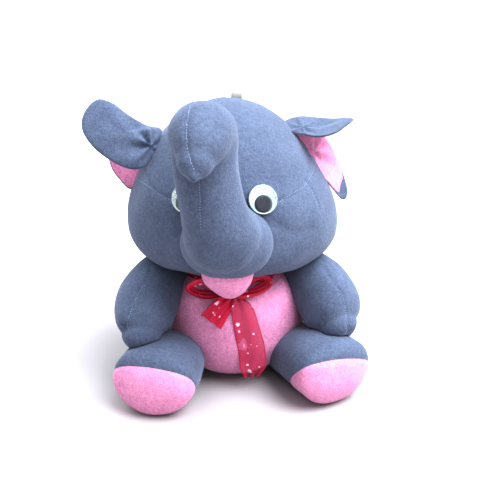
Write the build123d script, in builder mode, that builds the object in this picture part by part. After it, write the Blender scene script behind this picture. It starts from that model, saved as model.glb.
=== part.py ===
from build123d import *
import os
from math import asin, cos, degrees, radians, sin

os.makedirs("parts", exist_ok=True)

# Stuffed sitting elephant.  Millimetres, +Z up, the toy faces -Y, +X is the side
# of its left limbs as seen from the front on the right.  The origin is the centre
# of the flat seat patch under the torso.

# ---- driving dimensions -------------------------------------------------------
SKIN = 1.6            # short-pile plush with its knitted backing
GAP = 0.45            # free space at each sewn, flexing root

SEAT_R = 27.0         # flat patch the torso sits on
TORSO_R = 62.0        # widest radius of the torso
TORSO_WIDE_Z = 46.0    # height of the widest girth
NECK_JOIN_Z = 103.0    # where the shoulders run into the neck ball
NECK = (0.0, 0.0, 120.0)
NECK_R = 30.0         # top of the torso, inside the head
WAD_R = 34.0          # wad of filling in the neck opening, over the torso top

HEAD_YAW = -9.0       # the head is sewn on looking a little to one side
HEAD_Y = 6.0          # the head's upright axis lies a little behind the neck
CROWN_R = 88.0        # crown sphere
CROWN_Z = 167.0       # its centre
CROWN_DEG = 50.0      # elevation where the crown meets the temples
HEAD_R = 95.0         # widest radius, at the cheeks
CHEEK_R = 44.0        # lower roundness of the cheeks
UNDER_R, UNDER_Z = 23.0, 108.0   # start of the shallow cone under the head
HEAD_SEAM_Z = 186.0   # seam between the forehead and the cheek panels

SNOUT = (0.0, -86.0, 156.0)
SNOUT_R = 32.0
TRUNK_R = 25.0
TRUNK_MID = (-9.0, -115.0, 200.0)
TRUNK_TOP = (-13.0, -114.0, 246.0)
TRUNK_END = (-14.0, -144.0, 239.0)
TRUNK_END_R = 14.0

CHIN = (0.0, -80.0, 127.0)
CHIN_R = 22.0

EYE_D = 24.0          # moving-pupil plastic eye
EYE_X = 31.0
EYE_Z = 188.0
PUPIL_D = 14.0
PUPIL_DROP = 3.6
STEM_D = 4.4
STEM_L = 13.0
WASHER_D = 16.0

SHOULDER = (62.0, -8.0, 84.0)
SHOULDER_R = 20.0
PAW = (84.0, -52.0, 82.5)
PAW_R = 24.0

HIP = (46.0, -32.0, 33.5)
HIP_R = 27.0
FOOT_LEFT = (-75.0, -96.0, 31.4)
FOOT_RIGHT = (82.0, -90.0, 31.4)
FOOT_R = 31.0
SOLE_BULGE = 13.0

TAIL_ROOT = (0.0, 64.6, 24.0)
TAIL_R = 5.0
TAIL_L = 34.0

LOOP_W = 12.0
LOOP_T = 1.2
LOOP_H = 12.0

RIBBON_W = 25.0
RIBBON_T = 0.8
BAND_R = 43.0         # neckband, gathered to a soft cord round the neck
BAND_Z = 99.0
KNOT = (-3.0, -51.0, 96.0)

HEAD = Plane(origin=(0, 0, 0), x_dir=(cos(radians(HEAD_YAW)), sin(radians(HEAD_YAW)), 0), z_dir=(0, 0, 1))


def hp(x, y, z):
    """A point given in the head's own turned frame."""
    return HEAD.from_local_coords(Vector(x, y, z))


def along(a, b):
    """Plane at a whose normal points to b."""
    a, b = Vector(*a), Vector(*b)
    d = b - a
    side = Vector(0, 0, 1).cross(d)
    if side.length < 1e-6:
        side = Vector(1, 0, 0)
    return Plane(origin=a, x_dir=side.normalized(), z_dir=d.normalized())


def torso_solid(inset=0.0, mode=Mode.ADD):
    """Pear-shaped torso with the neck ball on top, flat underneath."""
    ball = NECK_R - inset
    join_r = (ball ** 2 - (NECK[2] - NECK_JOIN_Z) ** 2) ** 0.5
    with BuildSketch(Plane.XZ) as prof:
        with BuildLine():
            Line((0, inset), (SEAT_R - inset, inset))
            ThreePointArc((SEAT_R - inset, inset), (55.0 - inset, 17.0), (TORSO_R - inset, TORSO_WIDE_Z))
            ThreePointArc((TORSO_R - inset, TORSO_WIDE_Z), (54.0 - inset, 78.5), (join_r, NECK_JOIN_Z))
            rise = degrees(asin((NECK_JOIN_Z - NECK[2]) / ball))
            CenterArc((0, NECK[2]), ball, rise, 90 - rise)
            Line((0, NECK[2] + ball), (0, inset))
        make_face()
    revolve(prof.sketch, axis=Axis.Z, mode=mode)


def head_solid(inset=0.0, mode=Mode.ADD):
    """Ball head: crown sphere, long temples, full low cheeks, shallow cone round the neck."""
    c, t = cos(radians(CROWN_DEG)), sin(radians(CROWN_DEG))
    temple_r = (HEAD_R - CROWN_R * c) / (1 - c)
    cheek_z = CROWN_Z + (CROWN_R - temple_r) * t
    crown, temple, cheek = CROWN_R - inset, temple_r - inset, CHEEK_R - inset
    upright = Plane(origin=(0, HEAD_Y, 0), x_dir=(1, 0, 0), z_dir=(0, -1, 0))
    with BuildSketch(upright) as prof:
        with BuildLine():
            CenterArc((0, CROWN_Z), crown, CROWN_DEG, 90 - CROWN_DEG)
            CenterArc((HEAD_R - temple_r, cheek_z), temple, 0, CROWN_DEG)
            CenterArc((HEAD_R - CHEEK_R, cheek_z), cheek, -58, 58)
            low = (HEAD_R - CHEEK_R + cheek * cos(radians(58)), cheek_z - cheek * sin(radians(58)))
            Polyline(low, (UNDER_R, UNDER_Z + inset), (0, UNDER_Z + inset), (0, CROWN_Z + crown))
        make_face()
    revolve(prof.sketch, axis=Axis((0, HEAD_Y, 0), (0, 0, 1)), mode=mode)


def limb(plane, r0, r1, length, mode=Mode.ADD, bulge=None):
    """A stuffed limb: round root, straight taper, round end or a flatter bulging end."""
    slope = degrees(asin((r1 - r0) / length))
    with BuildSketch(Plane(origin=plane.origin, x_dir=plane.x_dir, z_dir=-plane.y_dir)) as prof:
        with BuildLine():
            root = CenterArc((0, 0), r0, -90, 90 - slope)
            if bulge is None:
                end = CenterArc((0, length), r1, -slope, 90 + slope)
                Line(root @ 1, end @ 0)
                Line((0, length + r1), (0, -r0))
            else:
                cap_r = (r1 ** 2 + bulge ** 2) / (2 * bulge)
                half = degrees(asin(r1 / cap_r))
                cap = CenterArc((0, length + bulge - cap_r), cap_r, 90 - half, half)
                Line(root @ 1, cap @ 0)
                Line((0, length + bulge), (0, -r0))
        make_face()
    revolve(prof.sketch, axis=Axis(plane.origin, plane.z_dir), mode=mode)


def ball(centre, r, mode=Mode.ADD):
    with Locations(Vector(*centre) if not isinstance(centre, Vector) else centre):
        Sphere(r, mode=mode)


def turned_about_z(point, pivot, deg):
    a = radians(deg)
    x, y = point[0] - pivot[0], point[1] - pivot[1]
    return (pivot[0] + x * cos(a) - y * sin(a), pivot[1] + x * sin(a) + y * cos(a), point[2])


def turned_about_x(point, pivot, deg):
    a = radians(deg)
    y, z = point[1] - pivot[1], point[2] - pivot[2]
    return (point[0], pivot[1] + y * cos(a) - z * sin(a), pivot[2] + y * sin(a) + z * cos(a))


def dist(a, b):
    return (Vector(*a) - Vector(*b)).length


SIDES = {"left": -1, "right": 1}
FOOT = {"left": FOOT_LEFT, "right": FOOT_RIGHT}


def limb_pockets():
    """Room in the torso for the arm and leg roots over their whole swing: flared sockets."""
    for side, s in SIDES.items():
        sh = (s * SHOULDER[0], SHOULDER[1], SHOULDER[2])
        w = turned_about_x((s * PAW[0], PAW[1], PAW[2]), sh, -13)
        limb(along(sh, w), SHOULDER_R + GAP, PAW_R + 18, dist(sh, w), mode=Mode.SUBTRACT)
        hip = (s * HIP[0], HIP[1], HIP[2])
        limb(along(hip, FOOT[side]), HIP_R + GAP, FOOT_R + 15, dist(hip, FOOT[side]), mode=Mode.SUBTRACT)


def belly_block(mode):
    """Outline of the pale belly panel, seen from the front, taken through the front half."""
    with BuildSketch(Plane.XZ) as outline:
        with BuildLine():
            Polyline((-31, 108), (-53, 90), (-50, 60), (-30, 26), (-15, 6), (15, 6), (30, 26), (50, 60), (53, 90), (31, 108), close=True)
        make_face()
    extrude(outline.sketch, amount=90, mode=mode)


# ---- torso ----------------------------------------------------------------------
with BuildPart() as body_back_skin:
    torso_solid()
    torso_solid(SKIN, Mode.SUBTRACT)
    limb_pockets()
    belly_block(Mode.SUBTRACT)
body_back_skin.part.label = "body_back_skin"
export_step(body_back_skin.part, "parts/body_back_skin.step")

with BuildPart() as belly_panel:
    torso_solid()
    torso_solid(SKIN, Mode.SUBTRACT)
    limb_pockets()
    belly_block(Mode.INTERSECT)
belly_panel.part.label = "belly_panel"
export_step(belly_panel.part, "parts/belly_panel.step")

with BuildPart() as body_stuffing:
    torso_solid(SKIN)
    limb_pockets()
body_stuffing.part.label = "body_stuffing"
export_step(body_stuffing.part, "parts/body_stuffing.step")

# ---- arms -----------------------------------------------------------------------
for side, s in SIDES.items():
    sh = (s * SHOULDER[0], SHOULDER[1], SHOULDER[2])
    pw = (s * PAW[0], PAW[1], PAW[2])
    ln = dist(sh, pw)
    with BuildPart() as arm_skin:
        limb(along(sh, pw), SHOULDER_R, PAW_R, ln)
        limb(along(sh, pw), SHOULDER_R - SKIN, PAW_R - SKIN, ln, mode=Mode.SUBTRACT)
    arm_skin.part.label = f"arm_{side}_skin"
    export_step(arm_skin.part, f"parts/arm_{side}_skin.step")
    with BuildPart() as arm_stuffing:
        limb(along(sh, pw), SHOULDER_R - SKIN, PAW_R - SKIN, ln)
    arm_stuffing.part.label = f"arm_{side}_stuffing"
    export_step(arm_stuffing.part, f"parts/arm_{side}_stuffing.step")

# ---- legs: plush tube, pale sole closing its end ----------------------------------
for side, s in SIDES.items():
    hip = (s * HIP[0], HIP[1], HIP[2])
    ft = FOOT[side]
    ln = dist(hip, ft)
    axis_plane = along(hip, ft)
    cut = Plane(origin=axis_plane.origin + axis_plane.z_dir * (ln - 1.0), x_dir=axis_plane.x_dir, z_dir=axis_plane.z_dir)
    with BuildPart() as leg_skin:
        limb(axis_plane, HIP_R, FOOT_R, ln, bulge=SOLE_BULGE)
        limb(axis_plane, HIP_R - SKIN, FOOT_R - SKIN, ln, bulge=SOLE_BULGE - SKIN, mode=Mode.SUBTRACT)
        split(bisect_by=cut, keep=Keep.BOTTOM)
    leg_skin.part.label = f"leg_{side}_skin"
    export_step(leg_skin.part, f"parts/leg_{side}_skin.step")
    with BuildPart() as leg_sole:
        limb(axis_plane, HIP_R, FOOT_R, ln, bulge=SOLE_BULGE)
        limb(axis_plane, HIP_R - SKIN, FOOT_R - SKIN, ln, bulge=SOLE_BULGE - SKIN, mode=Mode.SUBTRACT)
        split(bisect_by=cut, keep=Keep.TOP)
    leg_sole.part.label = f"leg_{side}_sole"
    export_step(leg_sole.part, f"parts/leg_{side}_sole.step")
    with BuildPart() as leg_stuffing:
        limb(axis_plane, HIP_R - SKIN, FOOT_R - SKIN, ln, bulge=SOLE_BULGE - SKIN)
    leg_stuffing.part.label = f"leg_{side}_stuffing"
    export_step(leg_stuffing.part, f"parts/leg_{side}_stuffing.step")

# ---- tail -------------------------------------------------------------------------
with BuildPart() as tail:
    limb(along(TAIL_ROOT, (TAIL_ROOT[0], TAIL_ROOT[1] + 12, TAIL_ROOT[2] - 9)), TAIL_R, TAIL_R - 1.5, TAIL_L - TAIL_R)
tail.part.label = "tail"

# ---- head -------------------------------------------------------------------------
EYES = {}
_c = cos(radians(CROWN_DEG))
TEMPLE_R = (HEAD_R - CROWN_R * _c) / (1 - _c)
CHEEK_Z = CROWN_Z + (CROWN_R - TEMPLE_R) * sin(radians(CROWN_DEG))
TILT = asin((EYE_Z - CHEEK_Z) / TEMPLE_R)
GIRTH_AT_EYE = HEAD_R - TEMPLE_R + TEMPLE_R * cos(TILT)
HEAD_AXIS = Vector(0, HEAD_Y, 0)
for side, s in SIDES.items():
    turn = radians(HEAD_YAW) + s * asin(EYE_X / GIRTH_AT_EYE)
    flat = Vector(sin(turn), -cos(turn), 0)
    n = flat * cos(TILT) + Vector(0, 0, sin(TILT))
    EYES[side] = Plane(origin=HEAD_AXIS + flat * GIRTH_AT_EYE + Vector(0, 0, EYE_Z), x_dir=Vector(0, 0, 1).cross(n).normalized(), z_dir=n)


def eye_disc(side, r, z0, z1, mode):
    pl = EYES[side]
    with BuildSketch(Plane(origin=pl.origin + pl.z_dir * z0, x_dir=pl.x_dir, z_dir=pl.z_dir)) as c:
        Circle(r)
    extrude(c.sketch, amount=z1 - z0, mode=mode)


TRUNK_PATH_PTS = [hp(*SNOUT), hp(*TRUNK_MID), hp(*TRUNK_TOP)]


def trunk_tube(r, mode):
    with BuildLine(mode=Mode.PRIVATE) as path:
        ThreePointArc(*TRUNK_PATH_PTS)
    start = path.line @ 0
    tangent = path.line % 0
    with BuildSketch(Plane(origin=start, z_dir=tangent)) as c:
        Circle(r)
    sweep(c.sketch, path=path.line, mode=mode)


def head_pockets():
    with Locations(Vector(*NECK)):
        Sphere(WAD_R + GAP, rotation=(90, 0, 0), mode=Mode.SUBTRACT)
    rise = along(tuple(hp(*SNOUT)), tuple(hp(*TRUNK_MID)))
    limb(rise, SNOUT_R + GAP, TRUNK_R + 3.0, dist(tuple(hp(*SNOUT)), tuple(hp(*TRUNK_MID))), mode=Mode.SUBTRACT)
    for side in SIDES:
        eye_disc(side, STEM_D / 2 + 0.1, -STEM_L - 2.0, 3.0, Mode.SUBTRACT)


with BuildPart() as head_forehead_skin:
    head_solid()
    head_solid(SKIN, Mode.SUBTRACT)
    split(bisect_by=Plane.XY.offset(HEAD_SEAM_Z), keep=Keep.TOP)
    head_pockets()
head_forehead_skin.part.label = "head_forehead_skin"
export_step(head_forehead_skin.part, "parts/head_forehead_skin.step")

with BuildPart() as head_cheek_skin:
    head_solid()
    head_solid(SKIN, Mode.SUBTRACT)
    split(bisect_by=Plane.XY.offset(HEAD_SEAM_Z), keep=Keep.BOTTOM)
    head_pockets()
head_cheek_skin.part.label = "head_cheek_skin"
export_step(head_cheek_skin.part, "parts/head_cheek_skin.step")

with BuildPart() as head_stuffing:
    head_solid(SKIN)
    head_pockets()
    for side in SIDES:
        eye_disc(side, WASHER_D / 2 + 0.3, -5.5, 0.0, Mode.SUBTRACT)
head_stuffing.part.label = "head_stuffing"
export_step(head_stuffing.part, "parts/head_stuffing.step")

with BuildPart() as neck_stuffing:
    ball(NECK, WAD_R)
    ball(NECK, NECK_R + GAP, Mode.SUBTRACT)
    split(bisect_by=Plane.XY.offset(NECK[2] - 8.0), keep=Keep.TOP)
neck_stuffing.part.label = "neck_stuffing"
export_step(neck_stuffing.part, "parts/neck_stuffing.step")

with BuildPart() as chin_lip:
    ball(hp(*CHIN), CHIN_R)
    head_solid(mode=Mode.SUBTRACT)
    ball(hp(*SNOUT), SNOUT_R + GAP, Mode.SUBTRACT)
chin_lip.part.label = "chin_lip"
export_step(chin_lip.part, "parts/chin_lip.step")

# ---- trunk ------------------------------------------------------------------------
tip_plane = along(tuple(hp(*TRUNK_TOP)), tuple(hp(*TRUNK_END)))
tip_len = (hp(*TRUNK_END) - hp(*TRUNK_TOP)).length
with BuildPart() as trunk_base_skin:
    ball(hp(*SNOUT), SNOUT_R)
    trunk_tube(TRUNK_R, Mode.ADD)
    ball(hp(*SNOUT), SNOUT_R - SKIN, Mode.SUBTRACT)
    trunk_tube(TRUNK_R - SKIN, Mode.SUBTRACT)
    limb(tip_plane, TRUNK_R + GAP, TRUNK_END_R + 9.0, tip_len, mode=Mode.SUBTRACT)
trunk_base_skin.part.label = "trunk_base_skin"
export_step(trunk_base_skin.part, "parts/trunk_base_skin.step")

with BuildPart() as trunk_base_stuffing:
    ball(hp(*SNOUT), SNOUT_R - SKIN)
    trunk_tube(TRUNK_R - SKIN, Mode.ADD)
    limb(tip_plane, TRUNK_R + GAP, TRUNK_END_R + 9.0, tip_len, mode=Mode.SUBTRACT)
trunk_base_stuffing.part.label = "trunk_base_stuffing"
export_step(trunk_base_stuffing.part, "parts/trunk_base_stuffing.step")

with BuildPart() as trunk_tip_skin:
    limb(tip_plane, TRUNK_R, TRUNK_END_R, tip_len)
    limb(tip_plane, TRUNK_R - SKIN, TRUNK_END_R - SKIN, tip_len, mode=Mode.SUBTRACT)
trunk_tip_skin.part.label = "trunk_tip_skin"
export_step(trunk_tip_skin.part, "parts/trunk_tip_skin.step")

with BuildPart() as trunk_tip_stuffing:
    limb(tip_plane, TRUNK_R - SKIN, TRUNK_END_R - SKIN, tip_len)
trunk_tip_stuffing.part.label = "trunk_tip_stuffing"
export_step(trunk_tip_stuffing.part, "parts/trunk_tip_stuffing.step")

# ---- eyes: white cup with stem, loose pupil, clear dome, lock washer ----------------
for side in SIDES:
    with BuildPart() as eye_cup:
        eye_disc(side, EYE_D / 2, 0.15, 1.5, Mode.ADD)
        eye_disc(side, EYE_D / 2, 1.5, 3.1, Mode.ADD)
        eye_disc(side, EYE_D / 2 - 1.0, 1.5, 4.0, Mode.SUBTRACT)
        eye_disc(side, STEM_D / 2, -STEM_L, 0.2, Mode.ADD)
    eye_cup.part.label = f"eye_{side}_cup"
    export_step(eye_cup.part, f"parts/eye_{side}_cup.step")
    pl = EYES[side]
    with BuildPart() as eye_dome:
        with BuildSketch(Plane(origin=pl.origin, x_dir=pl.x_dir, z_dir=-pl.y_dir)) as prof:
            with BuildLine():
                rim, top, inner_rim, inner_top = EYE_D / 2 - 0.1, 3.65, EYE_D / 2 - 1.0, 2.75
                r_out, r_in = (rim ** 2 + top ** 2) / (2 * top), (inner_rim ** 2 + inner_top ** 2) / (2 * inner_top)
                a_out, a_in = degrees(asin(rim / r_out)), degrees(asin(inner_rim / r_in))
                outer_arc = CenterArc((0, 3.15 + top - r_out), r_out, 90 - a_out, a_out)
                inner_arc = CenterArc((0, 3.15 + inner_top - r_in), r_in, 90 - a_in, a_in)
                Line(outer_arc @ 1, inner_arc @ 1)
                Line(outer_arc @ 0, inner_arc @ 0)
            make_face()
        revolve(prof.sketch, axis=Axis(pl.origin, pl.z_dir))
    eye_dome.part.label = f"eye_{side}_dome"
    export_step(eye_dome.part, f"parts/eye_{side}_dome.step")
    with BuildPart() as eye_pupil:
        with BuildSketch(Plane(origin=pl.origin + pl.z_dir * 1.75 - pl.y_dir * PUPIL_DROP, x_dir=pl.x_dir, z_dir=pl.z_dir)) as c:
            Circle(PUPIL_D / 2)
        extrude(c.sketch, amount=1.2)
    eye_pupil.part.label = f"eye_{side}_pupil"
    export_step(eye_pupil.part, f"parts/eye_{side}_pupil.step")
    with BuildPart() as eye_washer:
        eye_disc(side, WASHER_D / 2, -4.0, -3.0, Mode.ADD)
        eye_disc(side, STEM_D / 2, -5.0, -2.0, Mode.SUBTRACT)
    eye_washer.part.label = f"eye_{side}_washer"
    export_step(eye_washer.part, f"parts/eye_{side}_washer.step")

# ---- ears: plush back and pale lining, each folded into two flaps at the root --------
EAR_T = 2.6
FLAPS = {
    "left": [
        # front flap, hanging forward from the ridge
        [(-67, -6, 230), (-96, -16, 247), (-113, -22, 259), (-124, -26, 252), (-126, -30, 240), (-121, -34, 228), (-103, -34, 214), (-83, -30, 206)],
        # back flap, behind it and lower
        [(-68, 7, 229), (-96, 10, 244), (-108, 13, 236), (-110, 13, 214), (-107, 11, 192), (-97, 7, 180)],
    ],
    "right": [
        [(64, 8, 234), (84, 10, 239), (101, 0, 239), (103, -16, 237), (86, -30, 230), (72, -27, 225)],
        [(77, -2, 219), (87, 24, 222), (98, 36, 208), (106, 30, 186), (109, 12, 170), (101.5, 0, 169)],
    ],
}
EAR_INNER = {"left": [(0, 1, 0), (0, -1, 0)], "right": [(0, 0, -1), (1, -0.6, 0)]}
EAR_HINGE = {"left": ((-66, -2, 232), (-97, 4, 176)), "right": ((63, 0, 231), (97, -2, 168))}


def flap_plane(points, inner):
    o = Vector(*points[0])
    x = (Vector(*points[2]) - o).normalized()
    n = x.cross(Vector(*points[-2]) - o).normalized()
    if n.dot(Vector(*inner)) < 0:
        n = n * -1
    return Plane(origin=o, x_dir=x, z_dir=n)


def flap(points, inner, z0, z1, mode=Mode.ADD):
    """One flap as a rounded sheet between two heights over its mean plane."""
    pl = flap_plane(points, inner)
    flat = [pl.to_local_coords(Vector(*p)) for p in points]
    with BuildSketch(Plane(origin=pl.origin + pl.z_dir * z0, x_dir=pl.x_dir, z_dir=pl.z_dir)) as outline:
        with BuildLine():
            Polyline(*[(v.X, v.Y) for v in flat], close=True)
        make_face()
        fillet(outline.vertices(), 3.0)
    extrude(outline.sketch, amount=z1 - z0, mode=mode)


for side in SIDES:
    with BuildPart() as ear_outer:
        for pts, inner in zip(FLAPS[side], EAR_INNER[side]):
            flap(pts, inner, 0.0, EAR_T)
    ear_outer.part.label = f"ear_{side}_outer"
    with BuildPart() as ear_lining:
        for pts, inner in zip(FLAPS[side], EAR_INNER[side]):
            flap(pts, inner, EAR_T, 2 * EAR_T)
    ear_lining.part.label = f"ear_{side}_lining"
    export_step(ear_outer.part, f"parts/ear_{side}_outer.step")
    export_step(ear_lining.part, f"parts/ear_{side}_lining.step")

# ---- tail and hang loop -------------------------------------------------------------
export_step(tail.part, "parts/tail.step")

with BuildPart() as hang_loop:
    with BuildSketch(Plane(origin=(6.0, 20.0, 255.0), x_dir=(cos(radians(-20)), sin(radians(-20)), 0), z_dir=(0, -1, 0))) as outline:
        with BuildLine():
            Polyline((-LOOP_W / 2, 0), (-LOOP_W / 2 + 1.5, LOOP_H * 0.5), (LOOP_W / 2 - 3.0, LOOP_H), (LOOP_W / 2, LOOP_H * 0.8), (LOOP_W / 2, 0), close=True)
        make_face()
    extrude(amount=LOOP_T * 2)
hang_loop.part.label = "hang_loop"
export_step(hang_loop.part, "parts/hang_loop.step")

# ---- ribbon: neckband, knot, two loops, two tails -----------------------------------
with BuildPart() as ribbon_neckband:
    with BuildSketch(Plane.XZ) as section:
        with Locations((BAND_R, BAND_Z)):
            Circle(2.4)
    revolve(axis=Axis.Z)
ribbon_neckband.part.label = "ribbon_neckband"
export_step(ribbon_neckband.part, "parts/ribbon_neckband.step")

with BuildPart() as ribbon_knot:
    with Locations(KNOT):
        Box(14, 12, 13)
    fillet(ribbon_knot.edges(), 3.0)
    with BuildSketch(Plane.XZ) as section:
        with Locations((BAND_R, BAND_Z)):
            Circle(2.5)
    revolve(section.sketch, axis=Axis.Z, mode=Mode.SUBTRACT)
ribbon_knot.part.label = "ribbon_knot"
export_step(ribbon_knot.part, "parts/ribbon_knot.step")

for side, s in SIDES.items():
    x0 = KNOT[0] + s * 7.0
    x1 = -37.0 if side == "left" else 25.0
    with BuildPart() as bow_loop:
        with BuildSketch(Plane(origin=(x0, KNOT[1] + 1, KNOT[2] + 3), x_dir=(x1 - x0, 0, 5), z_dir=(0, -1, 0))) as outline:
            reach = ((x1 - x0) ** 2 + 25) ** 0.5
            with Locations((reach / 2 + 0.4, 0)):
                Ellipse(reach / 2, 5.5)
            with Locations((reach * 0.62, 0)):
                Ellipse(reach / 4.2, 2.8, mode=Mode.SUBTRACT)
        extrude(amount=4.0, both=True)
    bow_loop.part.label = f"ribbon_loop_{side}"
    export_step(bow_loop.part, f"parts/ribbon_loop_{side}.step")

LONG_TAIL = [(-57.6, 90.0), (-62.0, 72.0), (-64.5, 48.0), (-63.5, 30.0), (-60.5, 14.0)]
with BuildPart() as ribbon_tail_long:
    with BuildSketch(Plane.YZ.offset(-3.0)) as section:
        with BuildLine():
            Spline(*LONG_TAIL)
            Line(LONG_TAIL[-1], (LONG_TAIL[-1][0] - RIBBON_T, LONG_TAIL[-1][1]))
            Spline(*[(y - RIBBON_T, z) for y, z in reversed(LONG_TAIL)])
            Line((LONG_TAIL[0][0] - RIBBON_T, LONG_TAIL[0][1]), LONG_TAIL[0])
        make_face()
    extrude(amount=RIBBON_W)
ribbon_tail_long.part.label = "ribbon_tail_long"
export_step(ribbon_tail_long.part, "parts/ribbon_tail_long.step")

SHORT_TAIL = [(-57.6, 90.0), (-61.5, 80.0), (-64.5, 70.0)]
with BuildPart() as ribbon_tail_short:
    with BuildSketch(Plane.YZ.offset(-28.5)) as section:
        with BuildLine():
            Spline(*SHORT_TAIL)
            Line(SHORT_TAIL[-1], (SHORT_TAIL[-1][0] - RIBBON_T, SHORT_TAIL[-1][1]))
            Spline(*[(y - RIBBON_T, z) for y, z in reversed(SHORT_TAIL)])
            Line((SHORT_TAIL[0][0] - RIBBON_T, SHORT_TAIL[0][1]), SHORT_TAIL[0])
        make_face()
    extrude(amount=RIBBON_W - 1.0)
ribbon_tail_short.part.label = "ribbon_tail_short"
export_step(ribbon_tail_short.part, "parts/ribbon_tail_short.step")
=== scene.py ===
import bpy
import math
import numpy as np
from mathutils import Vector, Matrix, noise
from mathutils.bvhtree import BVHTree


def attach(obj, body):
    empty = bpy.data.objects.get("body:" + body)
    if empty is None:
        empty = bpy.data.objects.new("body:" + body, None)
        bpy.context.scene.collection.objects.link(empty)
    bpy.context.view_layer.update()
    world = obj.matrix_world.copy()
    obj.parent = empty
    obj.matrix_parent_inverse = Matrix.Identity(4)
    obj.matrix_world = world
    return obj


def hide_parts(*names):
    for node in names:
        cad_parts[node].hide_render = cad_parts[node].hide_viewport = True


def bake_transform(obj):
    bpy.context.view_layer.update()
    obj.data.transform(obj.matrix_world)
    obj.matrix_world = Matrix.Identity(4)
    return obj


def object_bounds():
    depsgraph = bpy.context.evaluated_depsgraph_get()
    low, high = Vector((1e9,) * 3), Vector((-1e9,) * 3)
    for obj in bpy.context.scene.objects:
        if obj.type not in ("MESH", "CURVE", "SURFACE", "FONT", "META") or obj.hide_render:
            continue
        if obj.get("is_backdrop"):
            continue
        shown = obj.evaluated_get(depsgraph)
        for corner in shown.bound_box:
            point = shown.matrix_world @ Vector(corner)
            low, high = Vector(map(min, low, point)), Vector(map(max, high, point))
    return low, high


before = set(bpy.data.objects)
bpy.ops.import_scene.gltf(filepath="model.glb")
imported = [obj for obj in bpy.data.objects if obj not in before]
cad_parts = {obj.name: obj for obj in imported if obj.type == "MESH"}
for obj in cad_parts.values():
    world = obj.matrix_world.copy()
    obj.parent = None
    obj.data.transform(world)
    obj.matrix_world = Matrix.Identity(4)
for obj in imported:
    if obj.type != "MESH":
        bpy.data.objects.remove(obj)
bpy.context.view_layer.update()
rng = np.random.default_rng(7)
MM = 0.001

# ------------------------------------------------------------------ camera and light
AZ, EL, DIST = math.radians(-5.0), math.radians(21.0), 700.0
TARGET = np.array([0.0, -20.0, 120.0])
back = np.array([math.sin(AZ) * math.cos(EL), -math.cos(AZ) * math.cos(EL), math.sin(EL)])
CAM = TARGET + back * DIST
look = -back
right = np.array([math.cos(AZ), math.sin(AZ), 0.0])
up = np.cross(right, look)

cam_data = bpy.data.cameras.new("camera")
cam_data.sensor_width = 36.0
cam_data.lens = 768.0 / 480.0 * 36.0
cam_data.shift_x = 6.0 / 480.0
cam_data.shift_y = 12.0 / 480.0
cam_data.clip_start = 0.01
camera = bpy.data.objects.new("camera", cam_data)
camera.matrix_world = Matrix((
    (right[0], up[0], back[0], CAM[0] * MM),
    (right[1], up[1], back[1], CAM[1] * MM),
    (right[2], up[2], back[2], CAM[2] * MM),
    (0, 0, 0, 1)))
bpy.context.scene.collection.objects.link(camera)
bpy.context.scene.camera = camera
bpy.context.scene.view_settings.view_transform = "Standard"


def aim(px, py):
    """Direction in the row frame from the camera through a point of its picture."""
    d = look * 768.0 + right * (px - 234.0) - up * (py - 252.0)
    return d / np.linalg.norm(d)


def area_light(name, loc, target, size, power, color):
    data = bpy.data.lights.new(name, "AREA")
    data.shape = "DISK"
    data.size = size
    data.energy = power
    data.color = color
    ob = bpy.data.objects.new(name, data)
    ob.location = loc
    ob.rotation_euler = (Vector(target) - Vector(loc)).to_track_quat("-Z", "Y").to_euler()
    bpy.context.scene.collection.objects.link(ob)


sun = bpy.data.lights.new("window", "SUN")
sun.energy = 7.0
sun.angle = math.radians(50)
sun.color = (0.90, 0.96, 1.0)
sun_ob = bpy.data.objects.new("window", sun)
sun_ob.rotation_euler = (Vector((0, 0, 0)) - Vector((0.60, -0.36, 1.12))).to_track_quat("-Z", "Y").to_euler()
bpy.context.scene.collection.objects.link(sun_ob)
area_light("front", (0.30, -1.15, 0.42), (0.0, 0.0, 0.10), 0.7, 1.1, (1.0, 0.90, 0.87))
area_light("catch", (0.15, -1.10, 0.585), (0.018, -0.08, 0.19), 0.09, 0.9, (1.0, 1.0, 1.0))
bpy.context.scene.view_settings.gamma = 0.68

world = bpy.data.worlds.new("studio")
world.use_nodes = True
wnt = world.node_tree
wtc = wnt.nodes.new("ShaderNodeTexCoord")
wsep = wnt.nodes.new("ShaderNodeSeparateXYZ")
wnt.links.new(wtc.outputs["Generated"], wsep.inputs[0])
wramp = wnt.nodes.new("ShaderNodeValToRGB")
wramp.color_ramp.elements[0].position = 0.12
wramp.color_ramp.elements[0].color = (1.06, 1.0, 0.985, 1)
wramp.color_ramp.elements[1].position = 0.9
wramp.color_ramp.elements[1].color = (0.86, 0.95, 1.0, 1)
wnt.links.new(wsep.outputs["Z"], wramp.inputs["Fac"])
wmap = wnt.nodes.new("ShaderNodeMapRange")
wmap.inputs["From Min"].default_value = 0.15
wmap.inputs["From Max"].default_value = 1.0
wmap.inputs["To Min"].default_value = 1.0
wmap.inputs["To Max"].default_value = 4.3
wnt.links.new(wsep.outputs["Z"], wmap.inputs["Value"])
wside = wnt.nodes.new("ShaderNodeMapRange")
wside.inputs["From Min"].default_value = -0.5
wside.inputs["From Max"].default_value = 0.6
wside.inputs["To Min"].default_value = 0.50
wside.inputs["To Max"].default_value = 1.02
wnt.links.new(wsep.outputs["Y"], wside.inputs["Value"])
wmul = wnt.nodes.new("ShaderNodeMath")
wmul.operation = "MULTIPLY"
wnt.links.new(wmap.outputs["Result"], wmul.inputs[0])
wnt.links.new(wside.outputs["Result"], wmul.inputs[1])
wnt.links.new(wramp.outputs["Color"], wnt.nodes["Background"].inputs[0])
wnt.links.new(wmul.outputs[0], wnt.nodes["Background"].inputs[1])
bpy.context.scene.world = world


# ------------------------------------------------------------------ small tools
def smooth01(x):
    x = np.clip(x, 0, 1)
    return x * x * (3 - 2 * x)


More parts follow.
